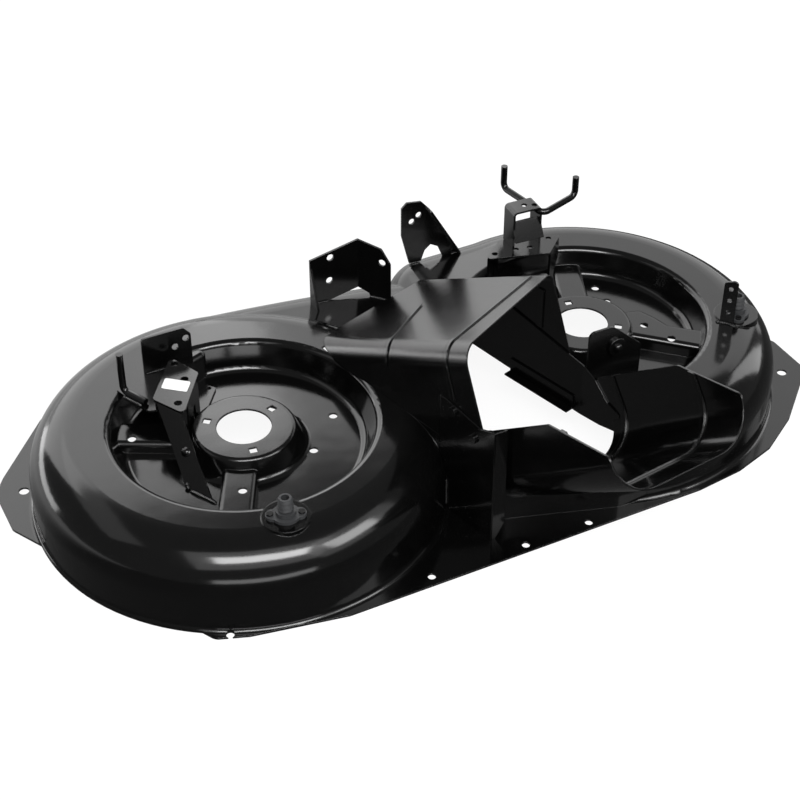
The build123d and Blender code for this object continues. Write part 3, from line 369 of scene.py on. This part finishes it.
# %% Brace bolt
BOLT_PLACE = (-327.7, -16.1, 98.8)
BOLT_AXIS = unit(np.array([-0.632, -0.343, 0.694]))
BOLT_RING = 32
HEAD_RADIUS = 4.6
HEAD_HEIGHT = 3.0
WASHER_RADIUS = 6.2
WASHER_TOP = 1.0
WASHER_SUNK = -0.5
WASHER_BEVEL = (0.3, 0.2)
DOME_ROWS = 10
DOME_END = 0.49 * np.pi


def turned(place, axis, profile):
    """Profile rows of (radius, height) carried round an axis at a place."""
    profile = np.asarray(profile, float)
    side = unit(np.cross(axis, (0.0, 0.0, 1.0)))
    over = np.cross(axis, side)
    angle = np.linspace(0.0, 2.0 * np.pi, BOLT_RING, endpoint=False)
    circle = np.cos(angle)[:, None] * side + np.sin(angle)[:, None] * over
    radius, height = profile[:, 0, None, None], profile[:, 1, None, None]
    return at(np.asarray(place) + radius * circle + height * axis)


def button():
    """Washer edge, then a quarter ellipse from the washer up to the crown of the head."""
    t = np.linspace(0.0, DOME_END, DOME_ROWS)
    dome = np.stack([HEAD_RADIUS * np.cos(t), WASHER_TOP + HEAD_HEIGHT * np.sin(t)], axis=-1)
    washer = [
        (WASHER_RADIUS, WASHER_SUNK),
        (WASHER_RADIUS, WASHER_TOP - WASHER_BEVEL[1]),
        (WASHER_RADIUS - WASHER_BEVEL[0], WASHER_TOP),
    ]
    return np.vstack([washer, dome])


make_piece("brace_bolt", [turned(BOLT_PLACE, BOLT_AXIS, button())], HARDWARE)

# %% [markdown]
# ## Blank label
# A white paper label is stuck on top of the idler bracket. It carries no print. A squared ellipse
# gives its outline soft corners, and rings that shrink to the middle fill it.

# %% Label
LABEL_MIDDLE = (-303.0, 75.3, 130.0)
LABEL_LONG = np.array([0.765, -0.644, 0.0])
LABEL_SHORT = np.array([-0.575, -0.818, 0.0])
LABEL_HALF = (16.8, 10.4)
LABEL_THICK = 0.35
LABEL_RING = 64
LABEL_SQUARE = 0.16
LABEL_SHARES = np.array([1.0, 1.0, 0.99, 0.6, 0.02])
LABEL_LEVELS = np.array([-0.1, 0.8, 1.0, 1.0, 1.0])


def squared(wave):
    """A sine or cosine pushed out towards 1 and -1, which squares the ellipse."""
    return (np.sign(wave) * np.abs(wave) ** LABEL_SQUARE)[:, None]


def label():
    """Rings of a squared ellipse: the outer two make the edge, the rest shrink to the middle."""
    angle = np.linspace(0.0, 2.0 * np.pi, LABEL_RING, endpoint=False)
    reach = squared(np.cos(angle)) * LABEL_HALF[0] * LABEL_LONG
    outline = reach + squared(np.sin(angle)) * LABEL_HALF[1] * LABEL_SHORT
    lift = LABEL_LEVELS[:, None, None] * np.array([0.0, 0.0, LABEL_THICK])
    return at(np.asarray(LABEL_MIDDLE) + LABEL_SHARES[:, None, None] * outline + lift)


make_piece("blank_label", [label()], PAPER)

# %% [markdown]
# ## Floor
# Gloss black shows the room, not itself, so the floor matters twice. The camera sees it as plain white
# with a soft shadow. The enamel sees a painted glow instead: painted light behind the deck, standing in
# for the panels lighting it, and painted shade in front, standing in for the deck and the camera in the
# way. A ramp across the floor mixes the two.

# %% Floor
FLOOR_HALF = 6.0
FLOOR_WHITE = 0.92
FLOOR_PALE = (0.72, 0.72, 0.72, 1.0)
FLOOR_ROUGH = 0.9
FLOOR_SHADOW = (0.1, 0.1, 0.1, 1.0)
# The floor's glow seen in the enamel: painted shade in front of the deck, painted light behind it.
FLOOR_PAINTED_SHADE = 0.08
FLOOR_PAINTED_LIGHT = 0.85
RAMP_SLANT = -0.35
RAMP_FROM = 0.25
RAMP_TO = 0.70


def flat_floor():
    """A level square at the foot of the deck."""
    mesh = bpy.data.meshes.new("floor")
    h = FLOOR_HALF
    mesh.from_pydata([(-h, -h, 0), (h, -h, 0), (h, h, 0), (-h, h, 0)], [], [(0, 1, 2, 3)])
    floor = bpy.data.objects.new("floor", mesh)
    bpy.context.scene.collection.objects.link(floor)
    return floor


def floor_finish():
    """Matte pale floor: white with a soft shadow to the camera; to the enamel, a ramp from painted shade
    in front to painted light behind.
    """
    material, shader, place = start_material("pale_floor")
    tree = material.node_tree
    shader.inputs["Base Color"].default_value = FLOOR_PALE
    shader.inputs["Roughness"].default_value = FLOOR_ROUGH
    shader.inputs["Specular IOR Level"].default_value = 0.0
    path = tree.nodes.new("ShaderNodeLightPath")
    glossy = Sum(tree, path.outputs["Is Glossy Ray"])
    seen = Sum(tree, path.outputs["Is Camera Ray"]) + Sum(tree, path.outputs["Is Transmission Ray"])
    across = place.node("ShaderNodeSeparateXYZ", None, {"Vector": place}, out="X")
    behind = place.node("ShaderNodeSeparateXYZ", None, {"Vector": place}, out="Y")
    limits = {"Value": behind + RAMP_SLANT * across, "From Min": RAMP_FROM, "From Max": RAMP_TO}
    ramp = place.node("ShaderNodeMapRange", {"interpolation_type": "SMOOTHSTEP"}, limits)
    glow = place.node("ShaderNodeEmission", None, {"Strength": FLOOR_WHITE})
    shadow = place.node("ShaderNodeBsdfDiffuse", None, {"Color": FLOOR_SHADOW})
    white = place.node("ShaderNodeAddShader", None, {0: glow, 1: shadow})
    # Painted shade and painted light: the floor's glow in the enamel, dim in front and bright behind.
    painted_shade_glow = place.node("ShaderNodeEmission", None, {"Strength": FLOOR_PAINTED_SHADE})
    painted_light_glow = place.node("ShaderNodeEmission", None, {"Strength": FLOOR_PAINTED_LIGHT})
    painted_floor_in_gloss = place.node("ShaderNodeMixShader", None, {0: ramp, 1: painted_shade_glow, 2: painted_light_glow})
    shown = place.node("ShaderNodeMixShader", None, {0: glossy, 1: white, 2: painted_floor_in_gloss})
    body = Sum(tree, shader.outputs["BSDF"])
    mixed = place.node("ShaderNodeMixShader", None, {0: seen + glossy, 1: body, 2: shown})
    tree.links.new(mixed.socket, tree.nodes["Material Output"].inputs["Surface"])
    return material


floor = flat_floor()
floor.data.materials.append(floor_finish())
print("floor", FLOOR_HALF * 2, "m square")

# %% [markdown]
# ## Light
# Wide panels behind the deck grey its flat tops, brighter at the left than at the right. Two soft boxes
# high behind the camera put the white bands on the shoulders, and a larger dim panel round each lets
# the band fade out. Low strips draw the thin lines at the foot of the pans.

# %% Lamps
LOOK_AT = np.array([0.0, SPINDLE_Y, 0.08])
WORLD_LEVEL = 0.17


def panel(name, turn, rise, distance, width, height, radiance):
    """A soft panel seen from the deck at a turn from the front and a rise, aimed at the deck."""
    a, e = math.radians(turn), math.radians(rise)
    away = np.array([math.sin(a) * math.cos(e), math.cos(a) * math.cos(e), math.sin(e)])
    light = bpy.data.lights.new(name, "AREA")
    light.shape = "RECTANGLE"
    light.size = width
    light.size_y = height
    light.energy = radiance * math.pi * width * height
    lamp = bpy.data.objects.new(name, light)
    lamp.location = LOOK_AT + away * distance
    lamp.rotation_euler = (math.radians(90.0 - rise), 0.0, math.radians(180.0 - turn))
    bpy.context.scene.collection.objects.link(lamp)
    return lamp


# Each row: name, turn, rise, distance, width, height, radiance.
PANELS = (
    ("back_left", -10.0, 26.5, 2.7, 2.18, 1.81, 2.45),
    ("back_middle", 22.0, 24.5, 2.7, 0.96, 1.60, 1.80),
    ("back_right", 52.0, 24.0, 2.7, 1.97, 1.55, 1.25),
    ("low_left", -5.0, 3.0, 2.7, 2.75, 0.47, 1.0),
    ("low_right", 48.0, 3.0, 2.7, 2.63, 0.47, 1.0),
    ("high_left", -48.0, 46.0, 2.7, 3.1, 0.8, 0.5),
    ("left_strip", -44.0, 3.0, 2.0, 1.3, 0.30, 4.0),
    ("right_strip", 88.0, 20.0, 2.2, 0.5, 1.2, 3.0),
    ("low_front", -162.0, 5.0, 2.6, 2.2, 0.35, 3.0),
    ("key_left", -160.0, 50.0, 2.4, 1.60, 0.58, 14.0),
    ("key_left_halo", -160.0, 49.0, 2.5, 2.60, 1.70, 1.2),
    ("key_right", 146.0, 41.0, 2.4, 1.05, 0.70, 7.5),
    ("key_right_halo", 144.0, 41.0, 2.5, 2.20, 1.60, 1.0),
)
for row in PANELS:
    panel(*row)

world = bpy.data.worlds.new("room")
bpy.context.scene.world = world
world.use_nodes = True
world.node_tree.nodes["Background"].inputs["Color"].default_value = (1.0, 1.0, 1.0, 1.0)
world.node_tree.nodes["Background"].inputs["Strength"].default_value = WORLD_LEVEL

# %% [markdown]
# ## Camera
# The deck was pictured from above its rear left corner, with the long side running to the right. The
# place and turns below were fitted to the two hubs, the upright post and the flange's straight edge.

# %% Camera
CAMERA_PLACE = (-0.8124, -1.4703, 1.4200)
CAMERA_TURN = 26.907
CAMERA_DROP = 38.112
CAMERA_LENS = 76.5
CAMERA_SENSOR = 36.0
CAMERA_NEAR = 0.05

eye = bpy.data.cameras.new("camera")
eye.lens = CAMERA_LENS
eye.sensor_width = CAMERA_SENSOR
eye.clip_start = CAMERA_NEAR
camera = bpy.data.objects.new("camera", eye)
camera.location = CAMERA_PLACE
camera.rotation_euler = (math.radians(90.0 - CAMERA_DROP), 0.0, math.radians(-CAMERA_TURN))
bpy.context.scene.collection.objects.link(camera)
bpy.context.scene.camera = camera
bpy.context.scene.view_settings.view_transform = "Standard"
print("camera at", CAMERA_PLACE)
